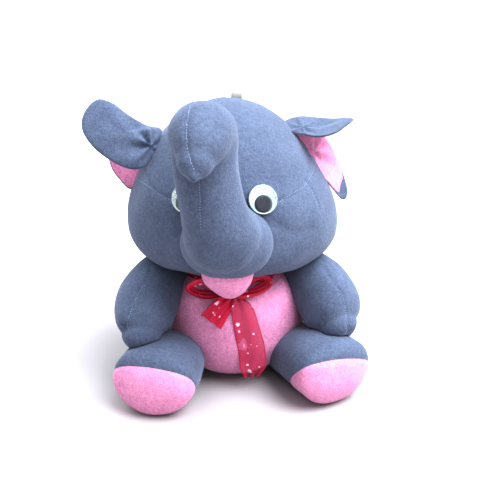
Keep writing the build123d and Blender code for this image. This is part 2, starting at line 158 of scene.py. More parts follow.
def make(name, verts, faces, mats=(), smooth=True):
    """Mesh object from points in millimetres."""
    me = bpy.data.meshes.new(name)
    me.from_pydata((np.asarray(verts, float) * MM).tolist(), [], [list(map(int, f)) for f in faces])
    me.validate()
    me.update()
    if smooth:
        me.polygons.foreach_set("use_smooth", [True] * len(me.polygons))
    ob = bpy.data.objects.new(name, me)
    bpy.context.scene.collection.objects.link(ob)
    for m in mats:
        me.materials.append(m)
    return ob


def coords(ob):
    co = np.zeros(len(ob.data.vertices) * 3)
    ob.data.vertices.foreach_get("co", co)
    return co.reshape(-1, 3) / MM


def set_coords(ob, co):
    ob.data.vertices.foreach_set("co", (np.asarray(co) * MM).ravel())
    ob.data.update()


def normals(verts, faces):
    n = np.zeros_like(verts)
    f = np.array([(a[0], a[1], a[2]) for a in faces] + [(a[0], a[2], a[3]) for a in faces if len(a) == 4])
    c = np.cross(verts[f[:, 1]] - verts[f[:, 0]], verts[f[:, 2]] - verts[f[:, 0]])
    for i in range(3):
        np.add.at(n, f[:, i], c)
    return n / (np.linalg.norm(n, axis=1, keepdims=True) + 1e-12)


def fbm(points, scale, seed=0.0, octaves=2):
    out = np.zeros(len(points))
    amp = 1.0
    for o in range(octaves):
        s = scale * 2 ** o
        out += amp * np.array([noise.noise(Vector((p[0] * s + seed, p[1] * s - seed, p[2] * s + 2 * seed))) for p in points])
        amp *= 0.5
    return out


def spline(points, n, closed=False):
    """Catmull-Rom points."""
    P = np.asarray(points, float)
    if closed:
        P = np.vstack([P[-1], P, P[0], P[1]])
    else:
        P = np.vstack([2 * P[0] - P[1], P, 2 * P[-1] - P[-2]])
    segs = len(P) - 3
    t = np.linspace(0, segs, n, endpoint=not closed)
    i = np.minimum(t.astype(int), segs - 1)
    u = (t - i)[:, None]
    a, b, c, d = P[i], P[i + 1], P[i + 2], P[i + 3]
    return 0.5 * (2 * b + (c - a) * u + (2 * a - 5 * b + 4 * c - d) * u ** 2 + (3 * b - a - 3 * c + d) * u ** 3)


def tube(path, rx, ry, n_round=72, side=None, close0=True, close1=True):
    """Grid around a path; rx, ry per path point; returns verts and faces."""
    path = np.asarray(path, float)
    tang = np.gradient(path, axis=0)
    tang /= np.linalg.norm(tang, axis=1, keepdims=True)
    s = np.array(side if side is not None else (1.0, 0, 0), float)
    sides = []
    for t in tang:
        s = s - t * (s @ t)
        s /= np.linalg.norm(s)
        sides.append(s.copy())
    sides = np.array(sides)
    ups = np.cross(tang, sides)
    ang = np.linspace(0, 2 * math.pi, n_round, endpoint=False)
    V = path[:, None, :] + np.cos(ang)[None, :, None] * sides[:, None, :] * np.asarray(rx)[:, None, None] + np.sin(ang)[None, :, None] * ups[:, None, :] * np.asarray(ry)[:, None, None]
    m = len(path)
    V = V.reshape(-1, 3)
    F = []
    for i in range(m - 1):
        for j in range(n_round):
            k = (j + 1) % n_round
            F.append((i * n_round + j, i * n_round + k, (i + 1) * n_round + k, (i + 1) * n_round + j))
    extra = []
    if close0:
        extra.append(path[0])
        c = len(V) + len(extra) - 1
        F += [(c, (j + 1) % n_round, j) for j in range(n_round)]
    if close1:
        extra.append(path[-1])
        c = len(V) + len(extra) - 1
        o = (m - 1) * n_round
        F += [(c, o + j, o + (j + 1) % n_round) for j in range(n_round)]
    if extra:
        V = np.vstack([V, extra])
    return V, F


def capped(path_pts, radii_x, radii_y, n=60, cap0=6, cap1=10, round0=1.0, round1=1.0, side=None, n_round=72):
    """Soft limb: spline path and radii, elliptical caps whose depth is round* times the end radius."""
    path = spline(path_pts, n)
    t = np.linspace(0, 1, n)
    k = np.linspace(0, 1, len(radii_x))
    rx = spline(np.column_stack([k, radii_x, radii_y]), n)[:, 1]
    ry = spline(np.column_stack([k, radii_x, radii_y]), n)[:, 2]
    d0 = path[0] - path[1]
    d0 /= np.linalg.norm(d0)
    d1 = path[-1] - path[-2]
    d1 /= np.linalg.norm(d1)
    a = np.linspace(0, math.pi / 2, cap0 + 1)[:-1]
    pre = [path[0] + d0 * round0 * rx[0] * math.cos(x) for x in a]
    prex = [rx[0] * math.sin(x) if x > 0 else rx[0] * 0.02 for x in a]
    prey = [ry[0] * math.sin(x) if x > 0 else ry[0] * 0.02 for x in a]
    b = np.linspace(0, math.pi / 2, cap1 + 1)[1:]
    post = [path[-1] + d1 * round1 * rx[-1] * math.sin(x) for x in b]
    postx = [max(rx[-1] * math.cos(x), rx[-1] * 0.02) for x in b]
    posty = [max(ry[-1] * math.cos(x), ry[-1] * 0.02) for x in b]
    P = np.vstack([pre, path, post])
    X = np.concatenate([prex, rx, postx])
    Y = np.concatenate([prey, ry, posty])
    return tube(P, X, Y, n_round=n_round, side=side)


def groove(verts, nrm, line, width, depth):
    """Push points near a line inward: a sewn seam."""
    line = np.asarray(line, float)
    lo, hi = line.min(0) - 3 * width, line.max(0) + 3 * width
    near = np.where(((verts > lo) & (verts < hi)).all(1))[0]
    for c in np.array_split(near, max(1, len(near) // 4000)):
        d = np.sqrt(((verts[c][:, None, :] - line[None, :, :]) ** 2).sum(2)).min(1)
        verts[c] -= nrm[c] * (depth * np.exp(-(d / width) ** 2))[:, None]
    return verts


def split_field(verts, faces, f):
    """Cut a surface along f = 0; returns (verts, faces) of the f > 0 and f < 0 sides."""
    tris = []
    for a in faces:
        tris.append((a[0], a[1], a[2]))
        if len(a) == 4:
            tris.append((a[0], a[2], a[3]))
    verts = [tuple(v) for v in verts]
    f = list(np.where(np.abs(f) < 1e-4, 1e-4, f))
    cuts = {}

    def cut(i, j):
        key = (min(i, j), max(i, j))
        if key not in cuts:
            t = f[i] / (f[i] - f[j])
            verts.append(tuple(np.array(verts[i]) * (1 - t) + np.array(verts[j]) * t))
            cuts[key] = len(verts) - 1
        return cuts[key]

    pos, neg = [], []
    for t in tris:
        s = [f[i] > 0 for i in t]
        if all(s):
            pos.append(t)
        elif not any(s):
            neg.append(t)
        else:
            k = s.index(True) if s.count(True) == 1 else s.index(False)
            a, b, c = t[k], t[(k + 1) % 3], t[(k + 2) % 3]
            ab, ac = cut(a, b), cut(a, c)
            one, two = [(a, ab, ac)], [(ab, b, c), (ab, c, ac)]
            if s.count(True) == 1:
                pos += one
                neg += two
            else:
                neg += one
                pos += two
    out = []
    for tri in (pos, neg):
        used = sorted({i for t in tri for i in t})
        remap = {u: i for i, u in enumerate(used)}
        out.append((np.array([verts[u] for u in used]), [tuple(remap[i] for i in t) for t in tri]))
    return out


def bvh(verts, faces):
    return BVHTree.FromPolygons([Vector(v) for v in verts], [list(map(int, f)) for f in faces])


def on_view(tree, px, py):
    """Where the sight line through a picture point meets the surface."""
    hit, n, _, _ = tree.ray_cast(Vector(CAM), Vector(aim(px, py)))
    return (np.array(hit), np.array(n)) if hit is not None else (None, None)


def view_line(tree, pts, n=60):
    line, nn = [], []
    for p in spline(np.array(pts, float), n):
        h, k = on_view(tree, p[0], p[1])
        if h is not None:
            line.append(h)
            nn.append(k)
    return np.array(line), np.array(nn)


def resample(line, nrm, step):
    d = np.concatenate([[0], np.cumsum(np.linalg.norm(np.diff(line, axis=0), axis=1))])
    s = np.arange(step / 2, d[-1], step)
    P = np.column_stack([np.interp(s, d, line[:, i]) for i in range(3)])
    N = np.column_stack([np.interp(s, d, nrm[:, i]) for i in range(3)])
    T = np.gradient(P, axis=0) if len(P) > 1 else np.zeros_like(P)
    return P, N / np.linalg.norm(N, axis=1, keepdims=True), T / (np.linalg.norm(T, axis=1, keepdims=True) + 1e-9)


def stitches(name, line, nrm, mat, step=2.6, length=1.5, r=0.28, lift=0.05, wild=0.0, tree=None):
    """A row of thread stitches as little closed capsules on a surface."""
    P, N, T = resample(np.asarray(line), np.asarray(nrm), step)
    V, F = [], []
    for p, n, t in zip(P, N, T):
        if tree is not None:
            hit = tree.find_nearest(Vector(p))
            if hit[0] is not None:
                p, n = np.array(hit[0]), np.array(hit[1])
        side = np.cross(n, t)
        a = (rng.random() - 0.5) * wild
        t2 = t * math.cos(a) + side * math.sin(a)
        L = length * (1 + wild * 0.5 * (rng.random() - 0.5))
        s2 = np.cross(n, t2)
        base = len(V)
        rings = 5
        for i in range(rings):
            u = i / (rings - 1) * 2 - 1
            rad = r * math.sqrt(max(0.03, 1 - u * u * 0.97))
            arch = (1 - u * u) * 0.25 - 0.12
            for j in range(6):
                w = j * math.pi / 3
                V.append(p + t2 * u * L / 2 + n * (lift + arch + rad * math.sin(w)) + s2 * rad * math.cos(w))
        for i in range(rings - 1):
            for j in range(6):
                k = (j + 1) % 6
                F.append((base + i * 6 + j, base + i * 6 + k, base + (i + 1) * 6 + k, base + (i + 1) * 6 + j))
        F.append(tuple(base + j for j in reversed(range(6))))
        F.append(tuple(base + (rings - 1) * 6 + j for j in range(6)))
    return make(name, V, F, [mat])


# ------------------------------------------------------------------ materials
def node_mat(name):
    m = bpy.data.materials.new(name)
    m.use_nodes = True
    nt = m.node_tree
    return m, nt, nt.nodes["Principled BSDF"]


def noise_node(nt, coord, scale, detail=3.0, rough=0.55):
    n = nt.nodes.new("ShaderNodeTexNoise")
    n.inputs["Scale"].default_value = scale
    n.inputs["Detail"].default_value = detail
    n.inputs["Roughness"].default_value = rough
    nt.links.new(coord.outputs["Object"], n.inputs["Vector"])
    return n


def ramp(nt, source, stops):
    r = nt.nodes.new("ShaderNodeValToRGB")
    el = r.color_ramp.elements
    while len(el) < len(stops):
        el.new(0.5)
    for e, (p, c) in zip(el, stops):
        e.position = p
        e.color = (*c, 1)
    nt.links.new(source, r.inputs["Fac"])
    return r


def mix_rgb(nt, kind, fac, a, b):
    m = nt.nodes.new("ShaderNodeMix")
    m.data_type = "RGBA"
    m.blend_type = kind
    if isinstance(fac, float):
        m.inputs[0].default_value = fac
    else:
        nt.links.new(fac, m.inputs[0])
    nt.links.new(a, m.inputs[6])
    nt.links.new(b, m.inputs[7])
    return m.outputs[2]


def plush(name, dark, mid, light, sheen=0.32, sheen_tint=(0.8, 0.86, 1.0), pile=1.0):
    """Short velvety pile: mottled nap, fine fibre speckle, soft sheen."""
    m, nt, p = node_mat(name)
    tc = nt.nodes.new("ShaderNodeTexCoord")
    nap = noise_node(nt, tc, 38.0, 3.0, 0.6)
    speck = noise_node(nt, tc, 900.0 * pile, 2.0, 0.7)
    tuft = noise_node(nt, tc, 330.0 * pile, 3.0, 0.65)
    base = ramp(nt, nap.outputs["Fac"], [(0.30, dark), (0.5, mid), (0.72, light)])
    sp = ramp(nt, speck.outputs["Fac"], [(0.33, (0.66, 0.66, 0.68)), (0.52, (1.0, 1.0, 1.0)), (0.7, (1.3, 1.3, 1.28))])
    tf = ramp(nt, tuft.outputs["Fac"], [(0.34, (0.82, 0.82, 0.84)), (0.55, (1.0, 1.0, 1.0)), (0.72, (1.12, 1.12, 1.1))])
    c1 = mix_rgb(nt, "MULTIPLY", 0.55, base.outputs["Color"], sp.outputs["Color"])
    c2 = mix_rgb(nt, "MULTIPLY", 0.8, c1, tf.outputs["Color"])
    nt.links.new(c2, p.inputs["Base Color"])
    p.inputs["Roughness"].default_value = 0.95
    p.inputs["Specular IOR Level"].default_value = 0.12
    p.inputs["Sheen Weight"].default_value = sheen
    p.inputs["Sheen Roughness"].default_value = 0.42
    p.inputs["Sheen Tint"].default_value = (*sheen_tint, 1)
    b1 = nt.nodes.new("ShaderNodeBump")
    b1.inputs["Strength"].default_value = 0.55
    b1.inputs["Distance"].default_value = 0.0009
    nt.links.new(speck.outputs["Fac"], b1.inputs["Height"])
    b2 = nt.nodes.new("ShaderNodeBump")
    b2.inputs["Strength"].default_value = 0.35
    b2.inputs["Distance"].default_value = 0.0016
    nt.links.new(tuft.outputs["Fac"], b2.inputs["Height"])
    nt.links.new(b2.outputs["Normal"], b1.inputs["Normal"])
    nt.links.new(b1.outputs["Normal"], p.inputs["Normal"])
    return m


GREY = plush("plush_grey", (0.114, 0.135, 0.190), (0.126, 0.149, 0.208), (0.140, 0.165, 0.229))
PINK = plush("plush_pink", (0.61, 0.290, 0.435), (0.64, 0.310, 0.460), (0.67, 0.332, 0.487), sheen=0.3, sheen_tint=(1.0, 0.86, 0.97))


def thread(name, color):
    m, nt, p = node_mat(name)
    tc = nt.nodes.new("ShaderNodeTexCoord")
    n = noise_node(nt, tc, 1600.0, 1.0, 0.5)
    r = ramp(nt, n.outputs["Fac"], [(0.35, tuple(c * 0.75 for c in color)), (0.65, color)])
    nt.links.new(r.outputs["Color"], p.inputs["Base Color"])
    p.inputs["Roughness"].default_value = 0.7
    return m


THREAD = thread("thread_grey", (0.36, 0.43, 0.58))
THREAD_PINK = thread("thread_pink", (0.85, 0.45, 0.65))


def plastic(name, color, rough=0.12, coat=0.6):
    m, nt, p = node_mat(name)
    tc = nt.nodes.new("ShaderNodeTexCoord")
    n = noise_node(nt, tc, 260.0, 4.0, 0.6)
    r = ramp(nt, n.outputs["Fac"], [(0.3, tuple(c * 0.93 for c in color)), (0.7, color)])
    nt.links.new(r.outputs["Color"], p.inputs["Base Color"])
    rr = nt.nodes.new("ShaderNodeMapRange")
    rr.inputs["To Min"].default_value = rough * 0.8
    rr.inputs["To Max"].default_value = rough * 1.4
    nt.links.new(n.outputs["Fac"], rr.inputs["Value"])
    nt.links.new(rr.outputs["Result"], p.inputs["Roughness"])
    p.inputs["Coat Weight"].default_value = coat
    p.inputs["Coat Roughness"].default_value = 0.05
    return m


EYE_WHITE = plastic("eye_white", (0.62, 0.72, 0.70), 0.3, 0.2)
EYE_BLACK = plastic("eye_black", (0.030, 0.034, 0.048), 0.45, 0.0)
WASHER = plastic("washer_plastic", (0.7, 0.7, 0.68), 0.4, 0.1)

EYE_CLEAR, nt_, p_ = node_mat("eye_clear")
p_.inputs["Base Color"].default_value = (0.97, 0.99, 1.0, 1)
p_.inputs["Roughness"].default_value = 0.03
p_.inputs["Transmission Weight"].default_value = 1.0
p_.inputs["IOR"].default_value = 1.45
p_.inputs["Alpha"].default_value = 0.20
EYE_CLEAR.use_backface_culling = False


def organza(name, color, edge, alpha):
    """Sheer woven ribbon: fine weave, opaque selvage, small pale printed specks."""
    m, nt, p = node_mat(name)
    uv = nt.nodes.new("ShaderNodeUVMap")
    uv.uv_map = "UVMap"
    sep = nt.nodes.new("ShaderNodeSeparateXYZ")
    nt.links.new(uv.outputs["UV"], sep.inputs[0])

    def math_node(op, a, b=None):
        n = nt.nodes.new("ShaderNodeMath")
        n.operation = op
        for i, v in enumerate((a, b)):
            if v is None:
                continue
            if isinstance(v, (int, float)):
                n.inputs[i].default_value = v
            else:
                nt.links.new(v, n.inputs[i])
        return n.outputs[0]

    # u runs 0..1 across the ribbon, v is millimetres along it over 25
    off = math_node("ABSOLUTE", math_node("SUBTRACT", sep.outputs[0], 0.5))
    selv = math_node("GREATER_THAN", off, 0.465)
    wu = math_node("SINE", math_node("MULTIPLY", sep.outputs[0], 2 * math.pi * 46))
    wv = math_node("SINE", math_node("MULTIPLY", sep.outputs[1], 2 * math.pi * 46))
    weave = math_node("MULTIPLY", math_node("ADD", wu, wv), 0.25)
    vor = nt.nodes.new("ShaderNodeTexVoronoi")
    vor.inputs["Scale"].default_value = 3.7
    vor.inputs["Randomness"].default_value = 0.9
    nt.links.new(uv.outputs["UV"], vor.inputs["Vector"])
    nz = nt.nodes.new("ShaderNodeTexNoise")
    nz.inputs["Scale"].default_value = 22.0
    nt.links.new(uv.outputs["UV"], nz.inputs["Vector"])
    edge_d = math_node("ADD", vor.outputs["Distance"], math_node("MULTIPLY", nz.outputs["Fac"], 0.22))
    big = nt.nodes.new("ShaderNodeTexVoronoi")
    big.inputs["Scale"].default_value = 1.75
    big.inputs["Randomness"].default_value = 0.85
    nt.links.new(uv.outputs["UV"], big.inputs["Vector"])
    big_d = math_node("ADD", big.outputs["Distance"], math_node("MULTIPLY", nz.outputs["Fac"], 0.34))
    spots = math_node("MAXIMUM", math_node("LESS_THAN", edge_d, 0.27), math_node("LESS_THAN", big_d, 0.33))
    body = nt.nodes.new("ShaderNodeMix")
    body.data_type = "RGBA"
    body.inputs[6].default_value = (*color, 1)
    body.inputs[7].default_value = (*edge, 1)
    nt.links.new(selv, body.inputs[0])
    full = nt.nodes.new("ShaderNodeMix")
    full.data_type = "RGBA"
    nt.links.new(spots, full.inputs[0])
    nt.links.new(body.outputs[2], full.inputs[6])
    full.inputs[7].default_value = (0.90, 0.70, 0.80, 1)
    nt.links.new(full.outputs[2], p.inputs["Base Color"])
    a1 = math_node("ADD", alpha, math_node("MULTIPLY", weave, 0.22))
    a2 = math_node("MAXIMUM", a1, math_node("MULTIPLY", selv, 0.96))
    a3 = math_node("MAXIMUM", a2, math_node("MULTIPLY", spots, 0.85))
    nt.links.new(a3, p.inputs["Alpha"])
    p.inputs["Roughness"].default_value = 0.42
    p.inputs["Sheen Weight"].default_value = 0.4
    p.inputs["Sheen Roughness"].default_value = 0.3
    bump = nt.nodes.new("ShaderNodeBump")
    bump.inputs["Strength"].default_value = 0.35
    bump.inputs["Distance"].default_value = 0.0003
    nt.links.new(weave, bump.inputs["Height"])
    nt.links.new(bump.outputs["Normal"], p.inputs["Normal"])
    return m


RIBBON = organza("ribbon_organza", (0.58, 0.040, 0.125), (0.46, 0.016, 0.07), 0.40)
RIBBON_BAND = organza("ribbon_gathered", (0.58, 0.020, 0.085), (0.46, 0.012, 0.055), 0.80)
TAPE = plastic("loop_tape", (0.62, 0.60, 0.53), 0.5, 0.0)

# ------------------------------------------------------------------ floor
floor_mat, fnt, fp = node_mat("floor")
fp.inputs["Base Color"].default_value = (0.42, 0.39, 0.395, 1)
fp.inputs["Roughness"].default_value = 0.9
floor = make("floor", [(-40000, -40000, -0.3), (40000, -40000, -0.3), (40000, 40000, -0.3), (-40000, 40000, -0.3)], [(0, 1, 2, 3)], [floor_mat])
floor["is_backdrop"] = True

# ------------------------------------------------------------------ the head
YAW = math.radians(-9.0)
HX = np.array([math.cos(YAW), math.sin(YAW), 0.0])
HY = np.array([-math.sin(YAW), math.cos(YAW), 0.0])


def hp(p):
    p = np.asarray(p, float)
    return p[..., 0:1] * HX + p[..., 1:2] * HY + p[..., 2:3] * np.array([0, 0, 1.0])


TEMPLE_R, CHEEK_Z = 107.596, 151.988


def head_girth(z):
    """Radius of the head at a height."""
    z = np.asarray(z, float)
    top = np.sqrt(np.maximum(88.0 ** 2 - (z - 167.0) ** 2, 0))
    mid = 95.0 - TEMPLE_R + np.sqrt(np.maximum(TEMPLE_R ** 2 - (z - CHEEK_Z) ** 2, 0))
    low = 95.0 * np.power(np.clip(1 - np.power(np.clip((CHEEK_Z - z) / 47.0, 0, 1), 3.0), 0, 1), 1 / 3.0)
    return np.where(z > 234.4, top, np.where(z > CHEEK_Z, mid, low))


def quad_sphere(n):
    """Even quads over a sphere."""
    key, V, F = {}, [], []
    lin = np.tan(np.linspace(-math.pi / 4, math.pi / 4, n + 1))
    for axis in range(3):
        for sign in (-1, 1):
            idx = np.zeros((n + 1, n + 1), int)
            for i in range(n + 1):
                for j in range(n + 1):
                    p = [0, 0, 0]
                    p[axis] = sign
                    p[(axis + 1) % 3] = lin[i]
                    p[(axis + 2) % 3] = lin[j]
                    k = tuple(round(x, 6) for x in p)
                    if k not in key:
                        key[k] = len(V)
                        V.append(p)
                    idx[i, j] = key[k]
            for i in range(n):
                for j in range(n):
                    q = (idx[i, j], idx[i + 1, j], idx[i + 1, j + 1], idx[i, j + 1])
                    F.append(q if sign > 0 else q[::-1])
    V = np.array(V, float)
    return V / np.linalg.norm(V, axis=1, keepdims=True), F


def head_surface(n):
    D, F = quad_sphere(n)
    lo, hi = np.zeros(len(D)), np.full(len(D), 150.0)
    for _ in range(26):
        t = (lo + hi) / 2
        x, y, z = D[:, 0] * t, D[:, 1] * t, 162 + D[:, 2] * t
        yy = np.where(y > 0, y / 0.95, y)
        inside = (np.hypot(x, yy) < head_girth(z)) & (z < 255.0) & (z > CHEEK_Z - 47.0)
        lo = np.where(inside, t, lo)
        hi = np.where(inside, hi, t)
    V = D * lo[:, None] + np.array([0, 0, 162.0])
    V[:, 1] += 6.0
    # the crown leans a little and the cheeks are fuller than a turned shape
    rise = smooth01((V[:, 2] - 158) / 62)
    V[:, 0] *= 1 - np.where(V[:, 0] > 0, 0.135, 0.075) * rise
    V[:, 0] -= np.clip(V[:, 2] - 150, 0, None) * 0.03
    side = smooth01((np.abs(V[:, 0]) - 45) / 40) * np.exp(-((V[:, 2] - 143) / 22) ** 2)
    V[:, 0] += np.sign(V[:, 0]) * side * 1.8
    V[:, 2] -= smooth01((np.abs(V[:, 0]) - 30) / 30) * np.exp(-((V[:, 2] - 112) / 10) ** 2) * 2.5
    return V, F


HV, HF = head_surface(88)
HV = hp(HV)
HN = normals(HV, HF)
HV += HN * (fbm(HV, 0.020, 3.0) * 1.5)[:, None]

EYES = {}
for side, s in (("left", -1), ("right", 1)):
    tilt = math.radians(19.554)
    turn = YAW + s * math.asin(31.0 / 88.795)
    flat = np.array([math.sin(turn), -math.cos(turn), 0])
    n = flat * math.cos(tilt) + np.array([0, 0, math.sin(tilt)])
    x = np.cross([0, 0, 1.0], n)
    x /= np.linalg.norm(x)
    EYES[side] = dict(o=np.array([0, 6.0, 188.0]) + flat * 88.795, n=n, x=x, y=np.cross(n, x))

for e in EYES.values():
    d = HV - e["o"]
    h = d @ e["n"]
    r = np.sqrt(np.maximum((d ** 2).sum(1) - h ** 2, 0))
    w = np.exp(-np.clip(r - 9, 0, None) ** 2 / 30.0) * (np.abs(h) < 25)
    HV += e["n"] * (-(h + 0.5) * w)[:, None]

HN = normals(HV, HF)
tree0 = bvh(HV, HF)
seam_r, nr_ = view_line(tree0, [(272, 207), (284, 199), (295, 192), (303.5, 187), (309, 179), (313, 171), (317, 160)])
dart_r, nd_ = view_line(tree0, [(306, 181), (311, 188), (316, 198), (320, 208)])
seam_l, nl_ = view_line(tree0, [(136, 178), (148, 186), (161, 195), (175, 202)])
az = np.linspace(0, 2 * math.pi, 361)


def local_az(P):
    return np.arctan2((P - [0, 6.0, 0]) @ HX, -((P - [0, 6.0, 0]) @ HY))


def seam_height(a):
    """Height of the eye-level seam round the head, by azimuth from the face."""
    return 186.0 + 20.0 * smooth01((np.abs(a) - 0.55) / 0.9) - 12.0 * smooth01((np.abs(a) - 1.9) / 0.8)


crown = []
for t in np.linspace(-0.9, 2.6, 120):
    d = np.array([0, 0, 0.0]) + HY * math.sin(t) + np.array([0, 0, 1.0]) * math.cos(t)
    h, k, _, _ = tree0.ray_cast(Vector(np.array([-4.0, 6.0, 162.0]) + d * 200), Vector(-d))
    if h is not None:
        crown.append((np.array(h), np.array(k)))
crown_p, crown_n = np.array([c[0] for c in crown]), np.array([c[1] for c in crown])
ring = []
for a in az:
    d = HX * math.sin(a) - HY * math.cos(a)
    z = float(seam_height(np.array([((a + math.pi) % (2 * math.pi)) - math.pi]))[0])
    h, k, _, _ = tree0.ray_cast(Vector(np.array([0, 6.0, z]) + d * 200), Vector(-d))
    if h is not None:
        ring.append((np.array(h), np.array(k)))
ring_p, ring_n = np.array([c[0] for c in ring]), np.array([c[1] for c in ring])
groove(HV, HN, ring_p, 1.7, 0.8)
groove(HV, HN, dart_r, 1.6, 0.9)
groove(HV, HN, crown_p, 1.8, 1.0)
# a soft smile fold on the right cheek, where the cheek panel pulls
fold_r, _n = view_line(tree0, [(277, 225), (288, 232), (300, 233), (311, 228)])
groove(HV, HN, fold_r, 5.0, 0.9)
tree_head = bvh(HV, HF)
f = HV[:, 2] - seam_height(local_az(HV))
(fv, ff), (cv, cf) = split_field(HV, HF, f)
forehead = make("head_forehead", fv, ff, [GREY])
cheeks = make("head_cheeks", cv, cf, [GREY])
for ob, node in ((forehead, "head_forehead_skin"), (cheeks, "head_cheek_skin")):
    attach(ob, "head")
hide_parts("head_forehead_skin")
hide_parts("head_cheek_skin", "head_stuffing")


def seam_threads(name, line, nrm, mat, body, tree, slot="plush_grey", **kw):
    ob = stitches(name, line, nrm, mat, tree=tree, **kw)
    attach(ob, body)
    return ob


front = np.abs(local_az(ring_p)) < 2.9
seam_threads("stitch_temple_right", seam_r, nr_, THREAD, "head", tree_head, step=2.7, length=1.3, r=0.22)
seam_threads("stitch_temple_left", seam_l, nl_, THREAD, "head", tree_head, step=2.7, length=1.3, r=0.22)
seam_threads("stitch_dart_right", dart_r, nd_, THREAD, "head", tree_head, step=2.7, length=1.3, r=0.2)

# ------------------------------------------------------------------ muzzle and trunk
def remeshed(name, parts, voxel, smooth_steps, subdiv=0):
    V, F = [], []
    for v, f_ in parts:
        o = len(V)
        V += [tuple(p) for p in v]
        F += [tuple(i + o for i in q) for q in f_]
    ob = make(name + "_raw", V, F)
    mod = ob.modifiers.new("r", "REMESH")
    mod.mode = "VOXEL"
    mod.voxel_size = voxel * MM
    sm = ob.modifiers.new("s", "SMOOTH")
    sm.factor = 0.5
    sm.iterations = smooth_steps
    if subdiv:
        sd = ob.modifiers.new("d", "SUBSURF")
        sd.levels = sd.render_levels = subdiv
    dg = bpy.context.evaluated_depsgraph_get()
    me = bpy.data.meshes.new_from_object(ob.evaluated_get(dg))
    v = np.zeros(len(me.vertices) * 3)
    me.vertices.foreach_get("co", v)
    faces = [tuple(p.vertices) for p in me.polygons]
    bpy.data.objects.remove(ob)
    bpy.data.meshes.remove(me)
    return v.reshape(-1, 3) / MM, faces


def ellipsoid(c, rx, ry, rz, n=20):
    D, F = quad_sphere(n)
    return hp(np.asarray(c) + D * np.array([rx, ry, rz])), F


trunk_path = [(0, -84, 156), (-1, -100, 166), (-5, -109, 182), (-9, -113, 204), (-12, -115, 226), (-13, -115, 246)]
tv, tf_ = capped([hp(np.array(p)) for p in trunk_path], [31, 31, 26.6, 25.0, 25.3, 26.3], [29, 30.5, 26.5, 25.0, 25.0, 26.0], n=50, cap0=6, cap1=10, side=HX, n_round=64)
tip_path = [(-13, -113, 248), (-13.5, -126, 250), (-14, -138, 245), (-15, -147, 237)]
pv, pf = capped([hp(np.array(p)) for p in tip_path], [26.0, 25.0, 21.0, 13.5], [25.5, 24.5, 20.5, 13.5], n=30, cap0=6, cap1=10, side=HX, n_round=64)
muzzle = ellipsoid((1.5, -85, 154), 38.5, 31.0, 31.5)
nub = ellipsoid((-15.5, -157, 229), 4.2, 4.6, 6.0, n=8)
TV, TF = remeshed("trunk", [(tv, tf_), (pv, pf), muzzle, nub], 1.7, 14)
TN = normals(TV, TF)
TV += TN * (fbm(TV, 0.03, 9.0) * 0.9)[:, None]
tree_t = bvh(TV, TF)
tf_line, tf_n = view_line(tree_t, [(199, 180), (199.5, 190), (200, 200), (200, 215), (201, 232), (203, 250), (204, 262), (207, 279)])
hand_line, hand_n = view_line(tree_t, [(190, 104), (188, 114), (186.5, 124), (186, 136), (187, 148), (190, 160), (195, 172)])
groove(TV, TN, tf_line, 1.3, 0.7)
groove(TV, TN, hand_line, 1.8, 1.0)
tree_t = bvh(TV, TF)
trunk = make("trunk_cover", TV, TF, [GREY])
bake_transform(trunk)
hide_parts("trunk_base_skin", "trunk_base_stuffing", "trunk_tip_skin", "trunk_tip_stuffing")
seam_threads("stitch_trunk_front", tf_line[:34], tf_n[:34], THREAD, "trunk", tree_t, step=2.3, length=1.0, r=0.26)
seam_threads("stitch_trunk_tip", hand_line, hand_n, THREAD, "trunk_tip", tree_t, step=2.2, length=1.9, r=0.28, wild=1.6)

# ------------------------------------------------------------------ chin
CV, CF = quad_sphere(30)
CV = hp(np.array([2.0, -81, 126.5]) + CV * np.array([22.0, 21.5, 23.5]))
CV_l = CV - hp(np.array([2.0, 0, 0]))
CV[:, 0] -= CV_l[:, 0] * 0.16 * smooth01((122 - CV[:, 2]) / 20)
CN = normals(CV, CF)
CV += CN * (fbm(CV, 0.05, 21.0) * 0.6)[:, None]
chin = make("chin_cover", CV, CF, [PINK])
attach(chin, "head")
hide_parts("chin_lip")

# ------------------------------------------------------------------ torso
prof = spline([(0, 0), (14, 0.05), (26, 0.3), (40, 5), (54, 17), (63, 36), (66, 52), (66, 68), (63.5, 82), (57.5, 93), (47.5, 101), (39, 110), (34, 118), (26, 126), (12, 130), (0.4, 131)], 110)
prof[:, 1] = np.clip(prof[:, 1], 0, None)
ang = np.linspace(0, 2 * math.pi, 180, endpoint=False)
BV = np.array([[r * math.cos(a) * (1 + (0.06 + 0.035 * (math.cos(a) > 0) * math.cos(a)) * math.exp(-((z - 64) / 26) ** 2)), r * math.sin(a), z] for r, z in prof for a in ang])
BF = []
for i in range(len(prof) - 1):
    for j in range(180):
        k = (j + 1) % 180
        BF.append((i * 180 + j, i * 180 + k, (i + 1) * 180 + k, (i + 1) * 180 + j))
BN = normals(BV, BF)
high = smooth01((BV[:, 2] - 6) / 10)
BV += BN * (fbm(BV, 0.024, 5.0) * 1.6 * high)[:, None]


def belly_field(P):
    """Positive inside the pale belly panel, millimetres from its edge."""
    w = np.interp(P[:, 2], [0, 8, 26, 60, 90, 108, 125], [14, 22, 46, 69, 66, 44, 22])
    return np.where(P[:, 1] < 0, w - np.abs(P[:, 0]), -20.0)


f = belly_field(BV)
BV -= BN * (0.9 * np.exp(-(f / 2.2) ** 2) * high)[:, None]
back_line = np.array([[0, r, z] for r, z in prof if 4 < z < 110])
groove(BV, BN, back_line, 1.8, 1.0)
tree_b = bvh(BV, BF)
(bv, bf), (gv, gf) = split_field(BV, BF, f)
belly = make("belly_cover", bv, bf, [PINK])
bodyback = make("back_cover", gv, gf, [GREY])
for ob in (belly, bodyback):
    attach(ob, "torso")
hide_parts("belly_panel")
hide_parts("body_back_skin", "body_stuffing")

